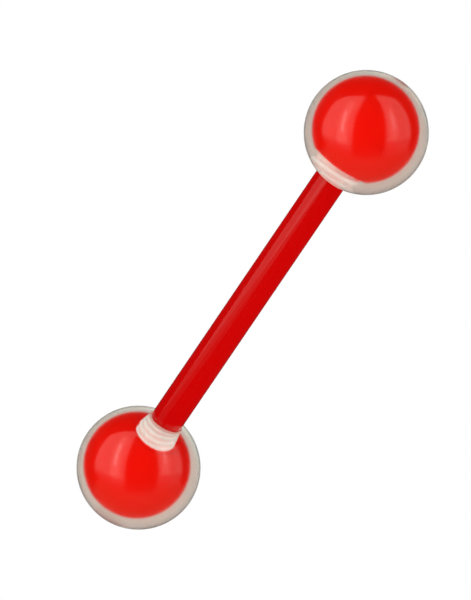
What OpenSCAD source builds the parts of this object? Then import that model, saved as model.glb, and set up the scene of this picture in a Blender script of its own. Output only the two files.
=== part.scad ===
// Straight tongue barbell: a flexible bar with a threaded spigot at each end,
// and two clear balls, each with a solid coloured core, that screw onto it.
// The bar lies along X at ball height, and the balls rest on Z = 0.

/* [Bar] */
// Diameter of the bar, 14 gauge
bar_d = 1.6; // [1.5:0.05:1.7]
// Length of the full-width bar from shoulder to shoulder
bar_len = 16; // [10:1:24]
// Length of the chamfer at each shoulder, twice its depth
shoulder_chamfer = 0.2; // [0.1:0.05:0.2]
// Number of ridges on each threaded spigot
ridges = 7; // [4:1:7]

/* [Thread] */
// Distance from one ridge to the next
pitch = 0.35; // [0.3:0.01:0.35]
// Diameter over the grooves of the ball's hole
groove_d = 1.6; // [1.5:0.05:1.6]
// Height of the spigot's ridges, and depth of the grooves in the ball
thread_h = 0.12; // [0.08:0.01:0.14]
// Radial gap between the ridges and the lands of the ball's hole
thread_gap = 0.08; // [0.02:0.01:0.1]
// Angle of each flank from square to the bar
flank_angle = 30; // [20:5:35]

/* [Balls] */
// Diameter of each clear ball
ball_d = 6; // [5.5:0.1:7]
// How deep the bar's shoulder sits inside the mouth of its ball
seat_depth = 0.15; // [0.1:0.05:0.35]
// Radial gap round the bar in the mouth
seat_gap = 0.04; // [0.03:0.01:0.06]
// How far both balls are drilled off their centre, towards +Y
drill_off = 0.15; // [0:0.05:0.25]
// Angle about the bar at which each ball comes up tight
ball_turn = 3.2; // [0:0.1:360]

/* [Cores] */
// Diameter of each solid core
core_d = 3.5; // [3:0.1:3.8]
// Gap left between a core and the clear shell round it
core_gap = 0.03; // [0.02:0.01:0.05]
// Depth of each core's flat, from the bar's shoulder
core_flat = 1.32; // [1.28:0.01:1.34]
// Shift of the right core from the centre of its ball, along X
right_core_x = 0.09; // [-0.1:0.01:0.1]
// Shift of the right core from the centre of its ball, along Y
right_core_y = 0.08; // [-0.1:0.01:0.1]
// Shift of the left core from the centre of its ball, along X
left_core_x = 0.05; // [-0.1:0.01:0.1]
// Shift of the left core from the centre of its ball, along Y
left_core_y = 0.1; // [-0.1:0.01:0.1]

/* [Hidden] */
$fn = 96;

bar_r = bar_d / 2;
shoulder_r = bar_r - shoulder_chamfer / 2;
ball_r = ball_d / 2;
core_r = core_d / 2;

// Radii of the mouth and of the thread, from the wall of the mouth inwards
seat_r = bar_r + seat_gap;
groove_r = groove_d / 2;
land_r = groove_r - thread_h;
crest_r = land_r - thread_gap;
root_r = crest_r - thread_h;

// Lengths along the thread, measured from the bar's shoulder
flank = thread_h * tan(flank_angle);
flat = pitch / 2 - flank;
neck_len = 0.3;
tip_len = 0.2;
tip_chamfer = 0.12;
spigot_overlap = 0.05;
spigot_len = neck_len + ridges * pitch + tip_len;
shoulder_gap = 0.03;
grooves = ridges + 1;
hole_len = neck_len + grooves * pitch + flat;
drill_point = 0.3;
mouth_run = 1;

// Distance from the shoulder to the centre of the ball, and the ball's place
seat_to_centre = sqrt(ball_r * ball_r - bar_r * bar_r) - seat_depth;
ball_x = bar_len / 2 + seat_to_centre;

// Distance from the shoulder to where ridge or groove number i starts
function tooth_z(i) = neck_len + i * pitch;

// Outline of one ridge or groove, from radius low to radius high and back
function tooth(low, high, i) = [
    [low, tooth_z(i)], [high, tooth_z(i) + flank],
    [high, tooth_z(i) + flank + flat], [low, tooth_z(i) + 2 * flank + flat]
];

// Outline of a row of ridges or grooves
function teeth(low, high, count) = [for (i = [0:count - 1]) each tooth(low, high, i)];

// Puts a shape drawn up +Z from the right shoulder onto the axis of the bar
module at_shoulder() {
    translate([bar_len / 2, drill_off, ball_r]) rotate([0, 90, 0]) children();
}

// The threaded end of the bar: a relief neck, the ridges and a chamfered tip
module spigot() {
    rotate_extrude() polygon(concat(
        [[0, -spigot_overlap], [root_r, -spigot_overlap]],
        teeth(root_r, crest_r, ridges),
        [[root_r, spigot_len - tip_chamfer], [root_r - tip_chamfer, spigot_len], [0, spigot_len]]
    ));
}

// The space cut out of a ball and its core: the mouth, the thread and the drill's point
module threaded_hole() {
    rotate_extrude() polygon(concat(
        [[0, -mouth_run], [seat_r, -mouth_run], [seat_r, shoulder_gap], [land_r, shoulder_gap]],
        teeth(land_r, groove_r, grooves),
        [[land_r, hole_len], [0, hole_len + drill_point]]
    ));
}

// The full-width shaft along Z, chamfered at both shoulders
module shaft() {
    half = bar_len / 2;
    rotate_extrude() polygon([
        [0, -half], [shoulder_r, -half], [bar_r, shoulder_chamfer - half],
        [bar_r, half - shoulder_chamfer], [shoulder_r, half], [0, half]
    ]);
}

// The whole bar, with a spigot at each end
module bar() {
    color([0.8, 0.02, 0.03]) union() {
        translate([0, drill_off, ball_r]) rotate([0, 90, 0]) shaft();
        at_shoulder() spigot();
        mirror([1, 0, 0]) at_shoulder() spigot();
    }
}

// A plain ball of radius r on the right, shifted by x and y
module round_ball(r, x, y) {
    translate([ball_x + x, y, ball_r]) rotate([ball_turn, 0, 0]) rotate([0, 90, 0]) sphere(r = r);
}

// The same ball with a flat on the side of the bar, at a depth from the shoulder
module flat_ball(r, x, y, depth) {
    intersection() {
        round_ball(r, x, y);
        at_shoulder() translate([0, 0, depth]) cylinder(h = ball_d, r = ball_r);
    }
}

// A clear ball on the right, hollowed for a core that is shifted by x and y
module shell(x, y) {
    color([0.9, 0.92, 0.9, 0.35]) difference() {
        round_ball(ball_r, 0, 0);
        flat_ball(core_r + core_gap, x, y, core_flat - core_gap);
        at_shoulder() threaded_hole();
    }
}

// A solid core on the right, drilled by the same hole as its shell
module core(x, y) {
    color([0.93, 0.07, 0.02]) difference() {
        flat_ball(core_r, x, y, core_flat);
        at_shoulder() threaded_hole();
    }
}

module left_shell() { mirror([1, 0, 0]) shell(-left_core_x, left_core_y); }
module left_core() { mirror([1, 0, 0]) core(-left_core_x, left_core_y); }
module right_shell() { shell(right_core_x, right_core_y); }
module right_core() { core(right_core_x, right_core_y); }

bar();
left_shell();
left_core();
right_shell();
right_core();
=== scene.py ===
"""A straight tongue barbell: a red flexible bar and two clear balls with solid red cores.

Sizes are millimetres, and each finished piece is shrunk to metres. The patterns of a finish are
sized in metres, because its nodes read the finished piece.
"""

import logging
import math
from collections.abc import Callable, Iterable
from dataclasses import dataclass, field
from enum import Enum
from typing import Any

import bpy
from mathutils import Matrix, Vector

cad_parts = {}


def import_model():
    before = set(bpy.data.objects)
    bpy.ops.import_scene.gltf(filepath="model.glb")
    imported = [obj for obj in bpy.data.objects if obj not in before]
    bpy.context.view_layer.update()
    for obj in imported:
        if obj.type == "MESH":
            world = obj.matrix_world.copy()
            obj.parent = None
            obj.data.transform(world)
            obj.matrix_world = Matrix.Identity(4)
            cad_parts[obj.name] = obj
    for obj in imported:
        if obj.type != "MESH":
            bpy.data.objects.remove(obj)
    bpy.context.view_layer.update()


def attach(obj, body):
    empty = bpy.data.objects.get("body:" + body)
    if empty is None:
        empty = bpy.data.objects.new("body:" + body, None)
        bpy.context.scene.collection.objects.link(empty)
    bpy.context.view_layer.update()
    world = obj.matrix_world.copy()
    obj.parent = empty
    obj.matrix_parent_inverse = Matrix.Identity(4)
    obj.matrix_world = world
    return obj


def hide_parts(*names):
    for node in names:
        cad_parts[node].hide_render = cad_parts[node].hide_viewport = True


log = logging.getLogger("barbell")

MM = 0.001
ACRYLIC_IOR = 1.49
LAMP_DISTANCE = 450.0
LAMP_GAP = 2.0
Point = tuple[float, float, float]
Colour = tuple[float, float, float]
Profile = list[tuple[float, float]]


class End(Enum):
    """The two ends of the bar, by the way that each points along X."""

    LEFT = -1
    RIGHT = 1

    @property
    def label(self) -> str:
        """The end's name, as the solids and bodies spell it."""
        return self.name.lower()


class Cut(Enum):
    """What a boolean does with its tool."""

    AWAY = "DIFFERENCE"
    ONTO = "UNION"
    INSIDE = "INTERSECT"


# Shader building


class Signal:
    """A node's output socket that can stand in a plain expression."""

    def __init__(self, recipe: "Recipe", socket: bpy.types.NodeSocket | None) -> None:
        """Wraps one socket.

        Args:
            recipe: The recipe that the socket's node is in.
            socket: The output socket, or None for a node that has none.
        """
        self.recipe = recipe
        self.socket = socket

    def _maths(self, operation: str, first: Any, second: Any) -> "Signal":
        """Adds one Math node.

        Args:
            operation: The Math node's operation.
            first: The value or Signal of its first socket.
            second: The value or Signal of its second socket.

        Returns:
            The node's result.
        """
        return self.recipe.node("ShaderNodeMath", {"operation": operation}, {0: first, 1: second})

    def __add__(self, other: Any) -> "Signal":
        """Self plus other."""
        return self._maths("ADD", self, other)

    def __radd__(self, other: Any) -> "Signal":
        """Other plus self."""
        return self._maths("ADD", other, self)

    def __sub__(self, other: Any) -> "Signal":
        """Self less other."""
        return self._maths("SUBTRACT", self, other)

    def __rsub__(self, other: Any) -> "Signal":
        """Other less self."""
        return self._maths("SUBTRACT", other, self)

    def __mul__(self, other: Any) -> "Signal":
        """Self times other."""
        return self._maths("MULTIPLY", self, other)

    def __rmul__(self, other: Any) -> "Signal":
        """Other times self."""
        return self._maths("MULTIPLY", other, self)


class Recipe:
    """The node tree of one material, filled from plain calls."""

    def __init__(self, tree: bpy.types.NodeTree) -> None:
        """Empties a node tree.

        Args:
            tree: The material's or world's node tree.
        """
        self.tree = tree
        tree.nodes.clear()

    def node(self, kind: str, settings: dict[str, Any], sockets: dict[Any, Any], out: Any = 0) -> Signal:
        """Adds a node.

        Args:
            kind: The node's type.
            settings: Its settings.
            sockets: A value or a Signal for each input, by name or number.
            out: The output to hand back, by name or number.

        Returns:
            The chosen output.
        """
        made = self.tree.nodes.new(kind)
        for name, value in settings.items():
            setattr(made, name, value)
        for key, value in sockets.items():
            if isinstance(value, Signal):
                self.tree.links.new(value.socket, made.inputs[key])
            else:
                made.inputs[key].default_value = value
        return Signal(self, made.outputs[out] if made.outputs else None)

    def grain(self, scale: float, stretch: Point = (1.0, 1.0, 1.0), detail: float = 3.0) -> Signal:
        """Noise that stays with the piece.

        Args:
            scale: Ripples in a metre.
            stretch: How much finer the noise is along each axis.
            detail: Octaves.

        Returns:
            The noise's strength, about 0 to 1.
        """
        place = self.node("ShaderNodeTexCoord", {}, {}, "Object")
        place = self.node("ShaderNodeMapping", {}, {"Vector": place, "Scale": stretch})
        return self.node("ShaderNodeTexNoise", {}, {"Vector": place, "Scale": scale, "Detail": detail})

    def ripple(self, height: Signal, strength: float, distance: float) -> Signal:
        """A bumped normal.

        Args:
            height: The bump's height.
            strength: How much of it shows, 0 to 1.
            distance: Its height in metres.

        Returns:
            The normal.
        """
        sockets = {"Strength": strength, "Distance": distance, "Height": height}
        return self.node("ShaderNodeBump", {}, sockets)

    def ease_between(self, value: Signal, low: float, high: float) -> Signal:
        """A soft step.

        Args:
            value: What is stepped.
            low: Where the step leaves 0.
            high: Where it reaches 1.

        Returns:
            The step, 0 to 1.
        """
        settings = {"interpolation_type": "SMOOTHSTEP"}
        sockets = {"Value": value, "From Min": low, "From Max": high}
        return self.node("ShaderNodeMapRange", settings, sockets)

    def blend(self, amount: Any, first: Any, second: Any) -> Signal:
        """A colour between two colours.

        Args:
            amount: 0 for the first, 1 for the second.
            first: A colour or Signal.
            second: A colour or Signal.

        Returns:
            The mixed colour.
        """
        sockets = {
            0: amount,
            6: first if isinstance(first, Signal) else (*first, 1.0),
            7: second if isinstance(second, Signal) else (*second, 1.0),
        }
        return self.node("ShaderNodeMix", {"data_type": "RGBA"}, sockets, 2)

    def finish(self, surface: Signal) -> None:
        """Links the surface to the output.

        Args:
            surface: The shader to show.
        """
        in_world = isinstance(self.tree.id_data, bpy.types.World)
        kind = "ShaderNodeOutputWorld" if in_world else "ShaderNodeOutputMaterial"
        self.node(kind, {}, {"Surface": surface})


def new_recipe(name: str) -> tuple[bpy.types.Material, Recipe]:
    """Makes an empty material.

    Args:
        name: Its name.

    Returns:
        The material and the recipe of its nodes.
    """
    material = bpy.data.materials.new(name)
    material.use_nodes = True
    return material, Recipe(material.node_tree)


@dataclass(frozen=True)
class BarPlastic:
    """Glossy solid red flexible plastic, with faint lines drawn along it."""

    colour: Colour = (0.68, 0.001, 0.001)
    deep: Colour = (0.63, 0.0003, 0.0003)
    smoothest: float = 0.01
    dulling: float = 0.05
    line_share: float = 0.6
    line_scale: float = 2600.0
    line_stretch: Point = (0.05, 1.0, 1.0)
    line_height: float = 0.00001
    mottle_scale: float = 900.0

    def make(self) -> bpy.types.Material:
        """Builds the material.

        Returns:
            The material.
        """
        material, recipe = new_recipe("red_bar_plastic")
        lines = recipe.grain(self.line_scale, self.line_stretch, detail=4.0)
        mottle = recipe.grain(self.mottle_scale)
        depth = lines * self.line_share + mottle * (1.0 - self.line_share)
        surface = recipe.node(
            "ShaderNodeBsdfPrincipled",
            {},
            {
                "Base Color": recipe.blend(depth, self.deep, self.colour),
                "Roughness": mottle * self.dulling + lines * self.dulling + self.smoothest,
                "IOR": 1.5,
                "Specular IOR Level": 0.25,
                "Normal": recipe.ripple(lines, strength=0.05, distance=self.line_height),
            },
        )
        recipe.finish(surface)
        return material


@dataclass(frozen=True)
class CoreAcrylic:
    """Solid opaque red acrylic, cast inside the clear ball and so without gloss of its own."""

    colour: Colour = (0.93, 0.006, 0.0005)
    deep: Colour = (0.86, 0.003, 0.0003)
    smoothest: float = 0.6
    dulling: float = 0.1
    mottle_share: float = 0.7
    mottle_scale: float = 700.0
    speck_scale: float = 5200.0
    speck_height: float = 0.00001

    def make(self) -> bpy.types.Material:
        """Builds the material.

        Returns:
            The material.
        """
        material, recipe = new_recipe("red_core_acrylic")
        mottle = recipe.grain(self.mottle_scale)
        speck = recipe.grain(self.speck_scale)
        depth = mottle * self.mottle_share + speck * (1.0 - self.mottle_share)
        surface = recipe.node(
            "ShaderNodeBsdfPrincipled",
            {},
            {
                "Base Color": recipe.blend(depth, self.deep, self.colour),
                "Roughness": speck * self.dulling + self.smoothest,
                "Specular IOR Level": 0.0,
                "Normal": recipe.ripple(speck, strength=0.1, distance=self.speck_height),
            },
        )
        recipe.finish(surface)
        return material


@dataclass(frozen=True)
class ClearAcrylic:
    """Clear acrylic with a soft polish, which lets a lamp's light through to the core."""

    tint: Colour = (0.95, 0.96, 0.94)
    cloud: Colour = (0.9, 0.91, 0.89)
    shade: Colour = (0.92, 0.92, 0.92)
    smoothest: float = 0.13
    dulling: float = 0.03
    haze_scale: float = 600.0
    haze_height: float = 0.00002

    def make(self) -> bpy.types.Material:
        """Builds the material.

        Returns:
            The material.
        """
        material, recipe = new_recipe("clear_ball_acrylic")
        haze = recipe.grain(self.haze_scale)
        glass = recipe.node(
            "ShaderNodeBsdfPrincipled",
            {},
            {
                "Base Color": recipe.blend(haze, self.cloud, self.tint),
                "Roughness": haze * self.dulling + self.smoothest,
                "IOR": ACRYLIC_IOR,
                "Transmission Weight": 1.0,
                "Normal": recipe.ripple(haze, strength=0.04, distance=self.haze_height),
            },
        )
        shadow = recipe.node("ShaderNodeLightPath", {}, {}, "Is Shadow Ray")
        through = recipe.node("ShaderNodeBsdfTransparent", {}, {"Color": (*self.shade, 1.0)})
        recipe.finish(recipe.node("ShaderNodeMixShader", {}, {0: shadow, 1: glass, 2: through}))
        return material


@dataclass(frozen=True)
class TappedAcrylic:
    """The frosted wall of a hole tapped in clear acrylic. Where the red bar is close behind it, its lands
    and seat are painted rosy in place of the bar seen through the wall, and the whole wall has a faint
    painted glow.

    The axis and the shoulder are the bar's. The seat gives way to the thread over the seat's end,
    which is measured from the shoulder, and a land to a groove over the groove's wall.
    """

    groove: Colour = (0.97, 0.93, 0.92)
    # painted red of the bar showing through the wall: the lands rosy and the seat salmon, the grooves
    # pale frost
    land: Colour = (0.86, 0.62, 0.58)
    seat: Colour = (0.85, 0.36, 0.28)
    # painted glow: a faint emission that lightens the whole frosted wall, though it is no lamp
    glow: Colour = (1.0, 0.9, 0.88)
    smoothest: float = 0.4
    dulling: float = 0.2
    axis_y: float = 0.00015
    axis_z: float = 0.003
    shoulder_x: float = 0.008
    seat_end: tuple[float, float] = (0.00002, 0.00012)
    groove_wall: tuple[float, float] = (0.0007, 0.00077)
    groove_share: float = 0.8
    scratch_scale: float = 9000.0
    scratch_stretch: Point = (1.0, 0.15, 0.15)
    scratch_height: float = 0.00002

    def make(self) -> bpy.types.Material:
        """Builds the material.

        Returns:
            The material.
        """
        material, recipe = new_recipe("frosted_tapped_acrylic")
        place = recipe.node("ShaderNodeTexCoord", {}, {}, "Object")
        apart = recipe.node("ShaderNodeSeparateXYZ", {}, {"Vector": place})
        parts = [Signal(recipe, socket) for socket in apart.socket.node.outputs]
        off_y, off_z = parts[1] - self.axis_y, parts[2] - self.axis_z
        radius = recipe.node("ShaderNodeMath", {"operation": "SQRT"}, {0: off_y * off_y + off_z * off_z})
        depth = recipe.node("ShaderNodeMath", {"operation": "ABSOLUTE"}, {0: parts[0]}) - self.shoulder_x
        # the lands and the seat take the painted red of the bar behind the wall, the grooves stay pale
        in_groove = recipe.ease_between(radius, *self.groove_wall)
        past_seat = recipe.ease_between(depth, *self.seat_end)
        scratch = recipe.grain(self.scratch_scale, self.scratch_stretch, detail=4.0)
        paleness = in_groove * self.groove_share + scratch * (1.0 - self.groove_share)
        ring = recipe.blend(paleness, self.land, self.groove)
        surface = recipe.node(
            "ShaderNodeBsdfPrincipled",
            {},
            {
                "Base Color": recipe.blend(past_seat, self.seat, ring),
                "Roughness": scratch * self.dulling + self.smoothest,
                "IOR": ACRYLIC_IOR,
                "Transmission Weight": 0.25,
                # the painted glow of the frosted wall
                "Emission Color": (*self.glow, 1.0),
                "Emission Strength": 0.12,
                "Normal": recipe.ripple(scratch, strength=0.2, distance=self.scratch_height),
            },
        )
        recipe.finish(surface)
        return material


@dataclass(frozen=True)
class PaleFloor:
    """A plain white table top, overexposed to the camera as in a catalogue picture."""

    colour: Colour = (0.8, 0.87, 0.81)
    glow: float = 0.1

    def make(self) -> bpy.types.Material:
        """Builds the material.

        Returns:
            The material.
        """
        material, recipe = new_recipe("white_table_top")
        table = recipe.node(
            "ShaderNodeBsdfPrincipled",
            {},
            {
                "Base Color": (*self.colour, 1.0),
                "Roughness": 0.9,
                "Specular IOR Level": 0.0,
                "Emission Color": (1.0, 1.0, 1.0, 1.0),
                "Emission Strength": self.glow,
            },
        )
        white = recipe.node("ShaderNodeEmission", {}, {"Strength": 1.0})
        seen = recipe.node("ShaderNodeLightPath", {}, {}, "Is Camera Ray")
        recipe.finish(recipe.node("ShaderNodeMixShader", {}, {0: seen, 1: table, 2: white}))
        return material


# Workshop


class Bench:
    """The workshop's hand tools, each a short run of operators."""

    DOUBLES = 0.0002

    @staticmethod
    def clear_selection() -> None:
        """Leaves nothing selected and nothing in edit mode."""
        if bpy.context.object and bpy.context.object.mode != "OBJECT":
            bpy.ops.object.mode_set(mode="OBJECT")
        bpy.ops.object.select_all(action="DESELECT")

    @classmethod
    def take(cls, piece: bpy.types.Object) -> None:
        """Selects one piece and makes it active.

        Args:
            piece: The piece to work on.
        """
        cls.clear_selection()
        piece.select_set(True)
        bpy.context.view_layer.objects.active = piece

    @classmethod
    def start_point(cls, name: str, place: Point) -> bpy.types.Object:
        """Starts a piece as a single point.

        Args:
            name: The piece's name.
            place: Where the point is.

        Returns:
            The piece, in edit mode with its point selected.
        """
        cls.clear_selection()
        bpy.ops.mesh.primitive_plane_add(size=1.0)
        piece = bpy.context.object
        piece.name = name
        piece.data.name = name
        bpy.ops.object.mode_set(mode="EDIT")
        bpy.ops.mesh.select_all(action="SELECT")
        bpy.ops.mesh.merge(type="CENTER")
        bpy.ops.transform.translate(value=place)
        return piece

    @classmethod
    def draw(cls, name: str, profile: Profile) -> bpy.types.Object:
        """Draws an open profile in the XZ plane by extruding a point along it.

        Args:
            name: The piece's name.
            profile: Each point's distance from the axis and place along it.

        Returns:
            The piece, in edit mode with the whole profile selected.
        """
        piece = cls.start_point(name, (profile[0][0], 0.0, profile[0][1]))
        for (r_from, z_from), (r_to, z_to) in zip(profile, profile[1:]):
            step = (r_to - r_from, 0.0, z_to - z_from)
            bpy.ops.mesh.extrude_vertices_move(TRANSFORM_OT_translate={"value": step})
        bpy.ops.mesh.select_all(action="SELECT")
        return piece

    @classmethod
    def close_up(cls) -> None:
        """Merges the doubles of the mesh in edit mode, turns its faces outwards and leaves it."""
        bpy.ops.mesh.select_all(action="SELECT")
        bpy.ops.mesh.remove_doubles(threshold=cls.DOUBLES)
        bpy.ops.mesh.normals_make_consistent(inside=False)
        bpy.ops.object.mode_set(mode="OBJECT")

    @classmethod
    def lathe(cls, name: str, profile: Profile, steps: int = 96) -> bpy.types.Object:
        """Turns a closed solid about Z.

        Args:
            name: The piece's name.
            profile: Its outline, from the axis out and back to the axis.
            steps: Facets round it.

        Returns:
            The solid.
        """
        piece = cls.draw(name, profile)
        bpy.ops.mesh.spin(steps=steps, angle=math.tau, center=(0.0, 0.0, 0.0), axis=(0.0, 0.0, 1.0))
        cls.close_up()
        return piece

    @classmethod
    def screw(
        cls, name: str, tooth: Profile, turns: int, span: tuple[float, float], steps: int = 96
    ) -> bpy.types.Object:
        """Makes a solid helical rod about Z.

        Args:
            name: The piece's name.
            tooth: One pitch of the thread's outline, up Z.
            turns: How many turns are wound before the ends are cut.
            span: Where the rod's two flat ends are cut.
            steps: Facets round it.

        Returns:
            The rod.
        """
        piece = cls.draw(name, tooth)
        bpy.ops.object.mode_set(mode="OBJECT")
        thread = piece.modifiers.new("thread", "SCREW")
        thread.angle = math.tau
        thread.screw_offset = tooth[-1][1] - tooth[0][1]
        thread.iterations = turns
        thread.steps = steps
        thread.render_steps = steps
        thread.use_merge_vertices = False
        cls.take(piece)
        bpy.ops.object.modifier_apply(modifier=thread.name)
        bpy.ops.object.mode_set(mode="EDIT")
        bpy.ops.mesh.select_all(action="SELECT")
        bpy.ops.mesh.remove_doubles(threshold=cls.DOUBLES)
        for place, up in ((span[0], -1.0), (span[1], 1.0)):
            bpy.ops.mesh.select_all(action="SELECT")
            bpy.ops.mesh.bisect(
                plane_co=(0.0, 0.0, place), plane_no=(0.0, 0.0, up), use_fill=True, clear_outer=True
            )
        cls.close_up()
        return piece

    @classmethod
    def ball(cls, name: str, radius: float, centre: Point, segments: int, rings: int) -> bpy.types.Object:
        """Adds a ball to be cut.

        Args:
            name: The piece's name.
            radius: The ball's radius.
            centre: The ball's centre.
            segments: Facets round it.
            rings: Facets from pole to pole.

        Returns:
            The ball, with its place in its mesh.
        """
        cls.clear_selection()
        bpy.ops.mesh.primitive_uv_sphere_add(
            segments=segments, ring_count=rings, radius=radius, location=centre
        )
        piece = bpy.context.object
        piece.name = name
        piece.data.name = name
        bpy.ops.object.transform_apply(location=True, rotation=True, scale=True)
        return piece

    @classmethod
    def cut(cls, piece: bpy.types.Object, tool: bpy.types.Object, way: Cut) -> None:
        """Applies a boolean to a piece.

        Args:
            piece: The piece to change.
            tool: The solid to cut with, which is used up.
            way: What the boolean does.
        """
        cls.take(piece)
        step = piece.modifiers.new("cut", "BOOLEAN")
        step.operation = way.value
        step.solver = "EXACT"
        step.object = tool
        bpy.ops.object.modifier_apply(modifier=step.name)
        mesh = tool.data
        bpy.data.objects.remove(tool)
        bpy.data.meshes.remove(mesh)

    @classmethod
    def dress(cls, piece: bpy.types.Object, finishes: Iterable[bpy.types.Material]) -> None:
        """Gives a piece its materials.

        Args:
            piece: The piece.
            finishes: The materials, the main one first.
        """
        piece.data.materials.clear()
        for finish in finishes:
            piece.data.materials.append(finish)

    @classmethod
    def paint(cls, piece: bpy.types.Object, index: int, inside: Callable[[Vector], bool]) -> int:
        """Gives one of a piece's materials to the faces that a test picks by place.

        Args:
            piece: The piece.
            index: The number of the material.
            inside: Tells whether a face with that centre is picked.

        Returns:
            How many faces were picked.
        """
        picked = [face for face in piece.data.polygons if inside(face.center)]
        for face in picked:
            face.material_index = index
        return len(picked)

    @classmethod
    def smooth(cls, piece: bpy.types.Object, degrees: float) -> None:
        """Shades a piece smooth but for its sharp edges.

        Args:
            piece: The piece.
            degrees: The angle over which an edge stays sharp.
        """
        cls.take(piece)
        bpy.ops.object.shade_smooth_by_angle(angle=math.radians(degrees))

    @classmethod
    def settle(cls, piece: bpy.types.Object, turn_y: float, place: Point) -> None:
        """Turns a piece about Y, sets it down and shrinks it to metres, all in its mesh.

        Args:
            piece: The piece, in millimetres.
            turn_y: The turn, in degrees.
            place: Where its origin goes, in millimetres.
        """
        cls.take(piece)
        piece.rotation_euler = (0.0, math.radians(turn_y), 0.0)
        piece.location = Vector(place) * MM
        piece.scale = (MM, MM, MM)
        bpy.ops.object.transform_apply(location=True, rotation=True, scale=True)
        cls.clear_selection()


# The barbell


@dataclass
class Thread:
    """The thread's sizes, along Z from the bar's shoulder into the ball.

    The bite is how far a helical rod reaches into the solid that it is joined to or cut from. The
    rod is wound by the spare turns past both of its ends before they are cut.
    """

    pitch: float = 0.35
    height: float = 0.12
    gap: float = 0.08
    groove_r: float = 0.8
    seat_r: float = 0.85
    flank_angle: float = 30.0
    neck: float = 0.3
    ridges: int = 7
    grooves: int = 8
    tip: float = 0.2
    chamfer: float = 0.12
    shoulder_gap: float = 0.03
    drill_point: float = 0.3
    bite: float = 0.02
    spare_turns: int = 2

    @property
    def flank(self) -> float:
        """Length of a flank along the axis."""
        return self.height * math.tan(math.radians(self.flank_angle))

    @property
    def flat(self) -> float:
        """Width of a crest."""
        return self.pitch / 2 - self.flank

    @property
    def land_r(self) -> float:
        """Radius of the hole between its grooves."""
        return self.groove_r - self.height

    @property
    def crest_r(self) -> float:
        """Radius over the spigot's ridges."""
        return self.land_r - self.gap

    @property
    def root_r(self) -> float:
        """Radius of the spigot between its ridges."""
        return self.crest_r - self.height

    @property
    def spigot_len(self) -> float:
        """Length of the spigot."""
        return self.neck + self.ridges * self.pitch + self.tip

    @property
    def hole_len(self) -> float:
        """Depth of the hole to the start of the drill's point."""
        return self.neck + self.grooves * self.pitch + self.flat

    def tooth(self, low: float, high: float) -> Profile:
        """One pitch of the thread's outline.

        Args:
            low: Radius at the root.
            high: Radius at the crest.

        Returns:
            The outline, from root to root.
        """
        return [
            (low, 0.0),
            (high, self.flank),
            (high, self.flank + self.flat),
            (low, 2 * self.flank + self.flat),
            (low, self.pitch),
        ]

    def rod(self, low: float, high: float, span: tuple[float, float]) -> bpy.types.Object:
        """A helical rod for a ridge or a groove.

        Args:
            low: Radius of the solid that it is joined to or cut from.
            high: Radius at the crest.
            span: Where its ends are cut.

        Returns:
            The rod, cut flat at both ends.
        """
        start = span[0] - self.spare_turns * self.pitch
        tooth = [(r, z + start) for r, z in self.tooth(low - self.bite, high)]
        turns = math.ceil((span[1] - start) / self.pitch) + self.spare_turns
        return Bench.screw("thread_rod", tooth, turns, span)


@dataclass
class Bar:
    """The flexible bar, with a threaded spigot at each end.

    The shoulder is given as shares of its chamfer: how far in from the bar's radius, and how far
    back from the bar's end. A sleeve tapers each thread away at both ends.
    """

    thread: Thread
    radius: float = 0.8
    half_len: float = 8.0
    chamfer: float = 0.2
    shoulder: tuple[tuple[float, float], ...] = ((0.0, 1.0), (0.1, 0.5), (0.3, 0.15), (0.5, 0.0))
    axis_y: float = 0.15
    axis_z: float = 3.0
    sleeve_room: float = 0.03
    sleeve_bite: float = 0.04
    sleeve_over: float = 0.05
    run_in: float = 0.12
    run_out: float = 0.16
    facets: int = 128
    sharp_over: float = 28.0

    def outline(self) -> Profile:
        """The bar's outline with plain spigots, from end to end.

        Returns:
            The outline, starting and ending on the axis.
        """
        thread = self.thread
        tip = self.half_len + thread.spigot_len
        upper = [
            *((self.radius - self.chamfer * inward, self.half_len - self.chamfer * back)
              for inward, back in self.shoulder),
            (thread.root_r, self.half_len),
            (thread.root_r, tip - thread.chamfer),
            (thread.root_r - thread.chamfer, tip),
            (0.0, tip),
        ]
        return [(r, -z) for r, z in reversed(upper)] + upper

    def add_threads(self, piece: bpy.types.Object) -> None:
        """Winds a thread onto each spigot.

        Args:
            piece: The bar, along Z.
        """
        thread = self.thread
        for end in End:
            low, high = thread.neck, thread.spigot_len - thread.tip
            inner, outer = thread.root_r - self.sleeve_bite, thread.crest_r + self.sleeve_room
            rod = thread.rod(thread.root_r, thread.crest_r, (low, high))
            sleeve = [
                (0.0, low - self.sleeve_over),
                (inner, low - self.sleeve_over),
                (outer, low + self.run_in),
                (outer, high - self.run_out),
                (inner, high + self.sleeve_over),
                (0.0, high + self.sleeve_over),
            ]
            Bench.cut(rod, Bench.lathe("sleeve", sleeve, self.facets), Cut.INSIDE)
            Bench.take(rod)
            rod.rotation_euler = (0.0, 0.0 if end is End.RIGHT else math.pi, 0.0)
            rod.location = (0.0, 0.0, end.value * self.half_len)
            bpy.ops.object.transform_apply(location=True, rotation=True, scale=True)
            Bench.cut(piece, rod, Cut.ONTO)

    def build(self, finish: bpy.types.Material) -> bpy.types.Object:
        """Builds the bar.

        Args:
            finish: Its material.

        Returns:
            The finished piece.
        """
        piece = Bench.lathe("flexible_bar", self.outline(), self.facets)
        self.add_threads(piece)
        Bench.dress(piece, [finish])
        Bench.smooth(piece, self.sharp_over)
        Bench.settle(piece, 90.0, (0.0, self.axis_y, self.axis_z))
        return piece


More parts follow.
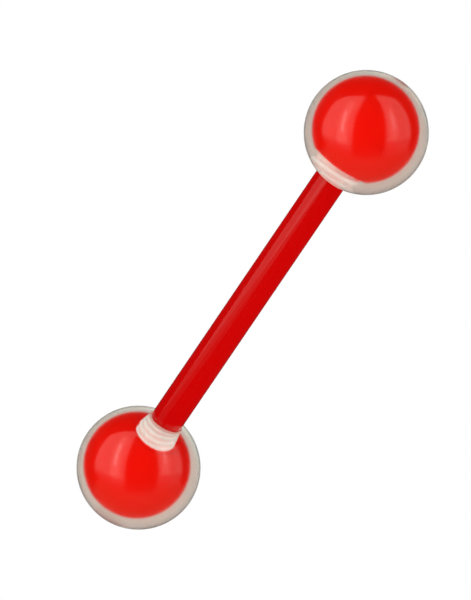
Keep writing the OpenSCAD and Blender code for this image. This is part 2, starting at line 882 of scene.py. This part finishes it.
@dataclass
class Ball:
    """A clear ball with a solid core, and the tapped hole through both.

    The core is shifted along X and along Y. The shell's hollow lies inside the core's surface, by
    the embed, so that no air shows between them. The skin is how far the shell lies inside the
    solid that it stands for. The hole's mouth widens outwards by its flare, its first groove
    starts at a share of the thread's neck, and its last land is plain. The two rooms are how far a
    face may be off the hole's wall and must be off the hollow to be painted as the hole's.
    """

    bar: Bar
    end: End
    core_shift: tuple[float, float]
    core_flat: float
    radius: float = 3.0
    core_r: float = 1.75
    embed: float = 0.04
    seat_depth: float = 0.15
    mouth_run: float = 1.0
    mouth_lip: float = 0.1
    mouth_flare: float = 0.03
    first_groove: float = 0.4
    last_land: float = 0.05
    core_looser: float = 0.004
    skin: float = 0.002
    wall_room: float = 0.02
    edge_room: float = 0.001
    shell_facets: int = 256
    core_facets: int = 160
    hollow_facets: int = 96
    sharp_over: float = 25.0

    @property
    def centre(self) -> Point:
        """The ball's centre, from the shoulder."""
        depth = math.sqrt(self.radius**2 - self.bar.radius**2) - self.seat_depth
        return (0.0, -self.bar.axis_y, depth)

    @property
    def core_centre(self) -> Point:
        """The core's centre, from the shoulder."""
        along = self.centre[2] + self.core_shift[0] * self.end.value
        return (0.0, self.core_shift[1] - self.bar.axis_y, along)

    def drill(self, piece: bpy.types.Object, looser: float = 0.0) -> None:
        """Cuts the seat, the bore and the helical thread.

        Args:
            piece: The piece to drill.
            looser: How much wider each of them is.
        """
        thread = self.bar.thread
        seat = thread.seat_r + looser
        land = thread.land_r + looser
        bore = [
            (0.0, -self.mouth_run),
            (seat + self.mouth_flare, -self.mouth_run),
            (seat, -self.mouth_lip),
            (seat, thread.shoulder_gap),
            (land, thread.shoulder_gap),
            (land, thread.hole_len),
            (0.0, thread.hole_len + thread.drill_point),
        ]
        Bench.cut(piece, Bench.lathe("bore", bore), Cut.AWAY)
        span = (thread.neck * self.first_groove, thread.hole_len - self.last_land)
        Bench.cut(piece, thread.rod(land, thread.groove_r + looser, span), Cut.AWAY)

    def flat_ball(self, name: str, smaller: float, facets: int) -> bpy.types.Object:
        """A ball as big as the core, with the core's flat on the side of the bar.

        Args:
            name: The piece's name.
            smaller: How far inside the core's surface it lies.
            facets: Facets round it.

        Returns:
            The ball.
        """
        piece = Bench.ball(name, self.core_r - smaller, self.core_centre, facets, facets // 2)
        Bench.take(piece)
        bpy.ops.object.mode_set(mode="EDIT")
        bpy.ops.mesh.select_all(action="SELECT")
        flat = (0.0, 0.0, self.core_flat + smaller)
        bpy.ops.mesh.bisect(plane_co=flat, plane_no=(0.0, 0.0, -1.0), use_fill=True, clear_outer=True)
        Bench.close_up()
        return piece

    def in_hole(self, place: Vector) -> bool:
        """Tells whether a face of the shell is in the hole.

        Args:
            place: The face's centre, from the shoulder.

        Returns:
            True if it is.
        """
        near_axis = math.hypot(place.x, place.y) < self.bar.thread.seat_r + self.wall_room
        below_skin = (place - Vector(self.centre)).length < self.radius - 2 * self.skin
        off_core = place.z < self.core_flat + self.embed - self.edge_room
        return near_axis and below_skin and off_core

    def settle(self, piece: bpy.types.Object) -> None:
        """Puts a piece made along Z onto its end of the bar.

        Args:
            piece: The piece.
        """
        place = (self.end.value * self.bar.half_len, self.bar.axis_y, self.bar.axis_z)
        Bench.settle(piece, 90.0 * self.end.value, place)

    def build_shell(self, clear: bpy.types.Material, tapped: bpy.types.Material) -> bpy.types.Object:
        """Builds the clear ball.

        Args:
            clear: The polished material.
            tapped: The material of the hole's wall.

        Returns:
            The finished piece.
        """
        name = f"{self.end.label}_clear_ball"
        radius = self.radius - self.skin
        piece = Bench.ball(name, radius, self.centre, self.shell_facets, self.shell_facets // 2)
        Bench.cut(piece, self.flat_ball("hollow", self.embed, self.hollow_facets), Cut.AWAY)
        self.drill(piece)
        Bench.dress(piece, [clear, tapped])
        picked = Bench.paint(piece, 1, self.in_hole)
        log.info("%s: %d faces in the hole", piece.name, picked)
        Bench.smooth(piece, self.sharp_over)
        self.settle(piece)
        return piece

    def build_core(self, finish: bpy.types.Material) -> bpy.types.Object:
        """Builds the solid core.

        Args:
            finish: Its material.

        Returns:
            The finished piece.
        """
        piece = self.flat_ball(f"{self.end.label}_red_core", 0.0, self.core_facets)
        self.drill(piece, self.core_looser)
        Bench.dress(piece, [finish])
        Bench.smooth(piece, self.sharp_over)
        self.settle(piece)
        return piece


# The studio


@dataclass
class PhotoCamera:
    """A long lens that looks down on the bar as the photograph does.

    The bar tilts out of the picture by the tilt, and runs right and up in it by the two shares.
    The clip distances are in metres.
    """

    tilt: float = 24.73
    bar_right: float = 0.5618
    bar_up: float = 0.8273
    distance: float = 1000.0
    sensor: float = 36.0
    frame_height: float = 28.9
    slide_right: float = -0.79
    slide_up: float = 0.04
    target: Point = (0.0, 0.0, 3.0)
    clip: tuple[float, float] = (0.01, 20.0)

    @property
    def right(self) -> Vector:
        """The picture's right, in the part's frame."""
        tilt = math.radians(self.tilt)
        return Vector((math.cos(tilt) * self.bar_right, -self.bar_up, -math.sin(tilt) * self.bar_right))

    @property
    def up(self) -> Vector:
        """The picture's up, in the part's frame."""
        tilt = math.radians(self.tilt)
        return Vector((math.cos(tilt) * self.bar_up, self.bar_right, -math.sin(tilt) * self.bar_up))

    @property
    def back(self) -> Vector:
        """The way from the object to the camera."""
        tilt = math.radians(self.tilt)
        return Vector((math.sin(tilt), 0.0, math.cos(tilt)))

    def direction(self, azimuth: float, elevation: float) -> Vector:
        """A direction as the camera sees it.

        Args:
            azimuth: Degrees to the right of the way back to the camera.
            elevation: Degrees above it.

        Returns:
            The direction.
        """
        az, el = math.radians(azimuth), math.radians(elevation)
        level = self.back * math.cos(az) + self.right * math.sin(az)
        return level * math.cos(el) + self.up * math.sin(el)

    def build(self) -> None:
        """Makes the camera the scene's camera."""
        data = bpy.data.cameras.new("photo_camera")
        data.sensor_fit = "AUTO"
        data.sensor_width = self.sensor
        data.lens = self.sensor * self.distance / self.frame_height
        data.clip_start, data.clip_end = self.clip
        camera = bpy.data.objects.new("photo_camera", data)
        bpy.context.scene.collection.objects.link(camera)
        place = Vector(self.target) + self.back * self.distance + self.right * self.slide_right
        place = (place + self.up * self.slide_up) * MM
        axes = Matrix((self.right, self.up, self.back)).transposed().to_4x4()
        camera.matrix_world = Matrix.Translation(place) @ axes
        bpy.context.scene.camera = camera


@dataclass
class Panel:
    """A flat lamp, placed by where the camera would see its reflection.

    Its plane is square to a direction of the camera's, given by azimuth and elevation, and the
    lamp leans over in that plane. Its edges, across and along, are given from the foot of that
    direction, as shares of its distance.
    """

    name: str
    azimuth: float
    lean: float
    across: tuple[float, float]
    along: tuple[float, float]
    radiance: float
    colour: Colour = (1.0, 0.97, 0.86)
    glossy: bool = True
    diffuse: bool = False
    distance: float = LAMP_DISTANCE
    elevation: float = 0.0
    balls_only: bool = False

    def build(self, camera: PhotoCamera, balls: bpy.types.Collection) -> None:
        """Hangs the lamp.

        Args:
            camera: The camera that the directions are given from.
            balls: The clear balls, which some lamps light alone.
        """
        width, height = (span[1] - span[0] for span in (self.across, self.along))
        data = bpy.data.lights.new(self.name, "AREA")
        data.shape = "RECTANGLE"
        data.size = width * self.distance * MM
        data.size_y = height * self.distance * MM
        data.color = self.colour
        data.energy = self.radiance * math.pi * data.size * data.size_y
        lamp = bpy.data.objects.new(self.name, data)
        bpy.context.scene.collection.objects.link(lamp)
        back = camera.direction(self.azimuth, self.elevation)
        lean = math.radians(self.lean)
        side = camera.up.cross(back).normalized()
        up = back.cross(side) * math.cos(lean) + side * math.sin(lean)
        side = up.cross(back)
        axes = Matrix((side, up, back)).transposed().to_4x4()
        place = back + side * sum(self.across) / 2 + up * sum(self.along) / 2
        place = (Vector(camera.target) + place * self.distance) * MM
        lamp.matrix_world = Matrix.Translation(place) @ axes
        lamp.visible_camera = False
        lamp.visible_glossy = self.glossy
        lamp.visible_diffuse = self.diffuse
        if self.balls_only:
            lamp.light_linking.receiver_collection = balls


def stepped_softbox(
    name: str,
    azimuth: float,
    lean: float,
    across: tuple[float, float],
    top: float,
    steps: Iterable[tuple[str, float, float]],
) -> list[Panel]:
    """Plans a softbox that fades out towards its lower edge, as panels one behind another.

    Args:
        name: The first panel's name.
        azimuth: Degrees to the right of the way back to the camera.
        lean: Degrees that it leans over.
        across: Its left and right edges, as shares of its distance.
        top: Its upper edge, as a share of its distance.
        steps: Each panel's ending to the name, its lower edge and its radiance.

    Returns:
        The panels.
    """
    return [
        Panel(
            name + ending,
            azimuth,
            lean,
            across,
            along=(bottom, top),
            radiance=radiance,
            distance=LAMP_DISTANCE + LAMP_GAP * i,
        )
        for i, (ending, bottom, radiance) in enumerate(steps)
    ]


def low_glow(layers: int = 3, fade: float = 0.1, nearest: float = 456.0) -> list[Panel]:
    """Plans the warm glow from below that only the clear balls mirror.

    Args:
        layers: How many panels it fades in through.
        fade: How much lower each panel's upper edge is, as a share of its distance.
        nearest: The first panel's distance, behind those of the softboxes.

    Returns:
        The panels.
    """
    return [
        Panel(
            f"low_glow_{i}",
            azimuth=0.0,
            lean=0.0,
            across=(-3.0, 3.0),
            along=(-1.4, 0.5 - fade * i),
            radiance=0.1,
            colour=(1.0, 0.95, 0.6),
            distance=nearest + LAMP_GAP * i,
            elevation=-70.0,
            balls_only=True,
        )
        for i in range(layers)
    ]


def fill(name: str, half_width: float, along: tuple[float, float], radiance: float) -> Panel:
    """Plans a lamp that lights without showing in any reflection.

    Args:
        name: Its name.
        half_width: Half its width, as a share of its distance.
        along: Its lower and upper edges, as shares of its distance.
        radiance: Its radiance.

    Returns:
        The panel.
    """
    return Panel(name, 0.0, 0.0, (-half_width, half_width), along, radiance, glossy=False, diffuse=True)


@dataclass
class Studio:
    """The white table top, the lamps and the air round them."""

    camera: PhotoCamera
    floor_size: float = 4000.0
    air: Colour = (0.76, 0.74, 0.7)
    mirrored: Colour = (0.04, 0.03, 0.03)
    lamps: list[Panel] = field(default_factory=lambda: [
        *stepped_softbox(
            "left_softbox", -18.0, 9.0, (-3.0, -0.13), 2.7,
            (("", -0.45, 0.6), ("_mid", -0.68, 0.35), ("_low", -0.95, 0.25)),
        ),
        *stepped_softbox(
            "right_softbox", 23.7, 0.0, (0.25, 2.28), 2.71,
            (("", -0.3, 0.6), ("_mid", -0.6, 0.3), ("_low", -0.95, 0.25)),
        ),
        Panel("left_strip", -45.5, 4.0, (-0.05, 0.05), (0.05, 0.85), radiance=2.6, distance=440.0),
        Panel("left_strip_wide", -44.0, 4.0, (-0.2, 0.14), (-0.3, 1.5), radiance=0.8, distance=442.0),
        Panel("right_strip", 52.5, 0.0, (-0.06, 0.06), (0.1, 0.65), radiance=1.7, distance=440.0),
        Panel("right_strip_wide", 52.5, 0.0, (-0.14, 0.14), (-0.2, 0.9), radiance=0.5, distance=442.0),
        *low_glow(),
        fill("front_fill", 0.8, (-1.2, 0.6), 0.15),
        fill("low_fill", 1.2, (-3.0, -0.6), 0.7),
        fill("top_fill", 1.2, (0.6, 3.0), 0.35),
    ])

    def build_floor(self, finish: bpy.types.Material) -> None:
        """Lays the table top.

        Args:
            finish: Its material.
        """
        Bench.clear_selection()
        bpy.ops.mesh.primitive_plane_add(size=self.floor_size * MM)
        top = bpy.context.object
        top.name = "table_top"
        Bench.dress(top, [finish])
        top.visible_glossy = False

    def build_air(self) -> None:
        """Makes the air white to the camera, soft light to the object and dark in reflections."""
        world = bpy.data.worlds.new("studio_air")
        world.use_nodes = True
        recipe = Recipe(world.node_tree)
        seen = recipe.node("ShaderNodeLightPath", {}, {}, "Is Camera Ray")
        glossy = recipe.node("ShaderNodeLightPath", {}, {}, "Is Glossy Ray")
        through = recipe.node("ShaderNodeLightPath", {}, {}, "Is Transmission Ray")
        colour = recipe.blend(glossy * (1.0 - through), self.air, self.mirrored)
        colour = recipe.blend(seen, colour, (1.0, 1.0, 1.0))
        recipe.finish(recipe.node("ShaderNodeBackground", {}, {"Color": colour, "Strength": 1.0}))
        bpy.context.scene.world = world

    def build(self, floor: bpy.types.Material, balls: bpy.types.Collection) -> None:
        """Builds the studio.

        Args:
            floor: The table top's material.
            balls: The clear balls.
        """
        self.build_floor(floor)
        self.build_air()
        for lamp in self.lamps:
            lamp.build(self.camera, balls)
        bpy.context.scene.view_settings.view_transform = "Standard"


def stand_for(piece: bpy.types.Object, node: str, body: str) -> None:
    """Hands a piece over to the frame in place of a solid.

    Args:
        piece: The finished piece.
        node: The solid that it stands for.
        body: The body that it rides on.
    """
    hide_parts(node)
    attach(piece, body)
    log.info("%s: %d faces, for %s on %s", piece.name, len(piece.data.polygons), node, body)


def main() -> None:
    """Builds the barbell and its studio in the frame."""
    logging.basicConfig(level=logging.INFO, format="%(name)s %(message)s")
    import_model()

    bar = Bar(Thread())
    stand_for(bar.build(BarPlastic().make()), "bar", "bar")

    clear = ClearAcrylic().make()
    tapped = TappedAcrylic().make()
    core = CoreAcrylic().make()
    balls = bpy.data.collections.new("clear_balls")
    for end, shift, flat in ((End.LEFT, (0.05, 0.1), 1.31), (End.RIGHT, (0.09, 0.08), 1.37)):
        ball = Ball(bar, end, shift, flat)
        body = f"{end.label}_ball"
        shell = ball.build_shell(clear, tapped)
        balls.objects.link(shell)
        stand_for(shell, f"{end.label}_shell", body)
        stand_for(ball.build_core(core), f"{end.label}_core", body)

    camera = PhotoCamera()
    camera.build()
    Studio(camera).build(PaleFloor().make(), balls)


if __name__ == "__main__":
    main()
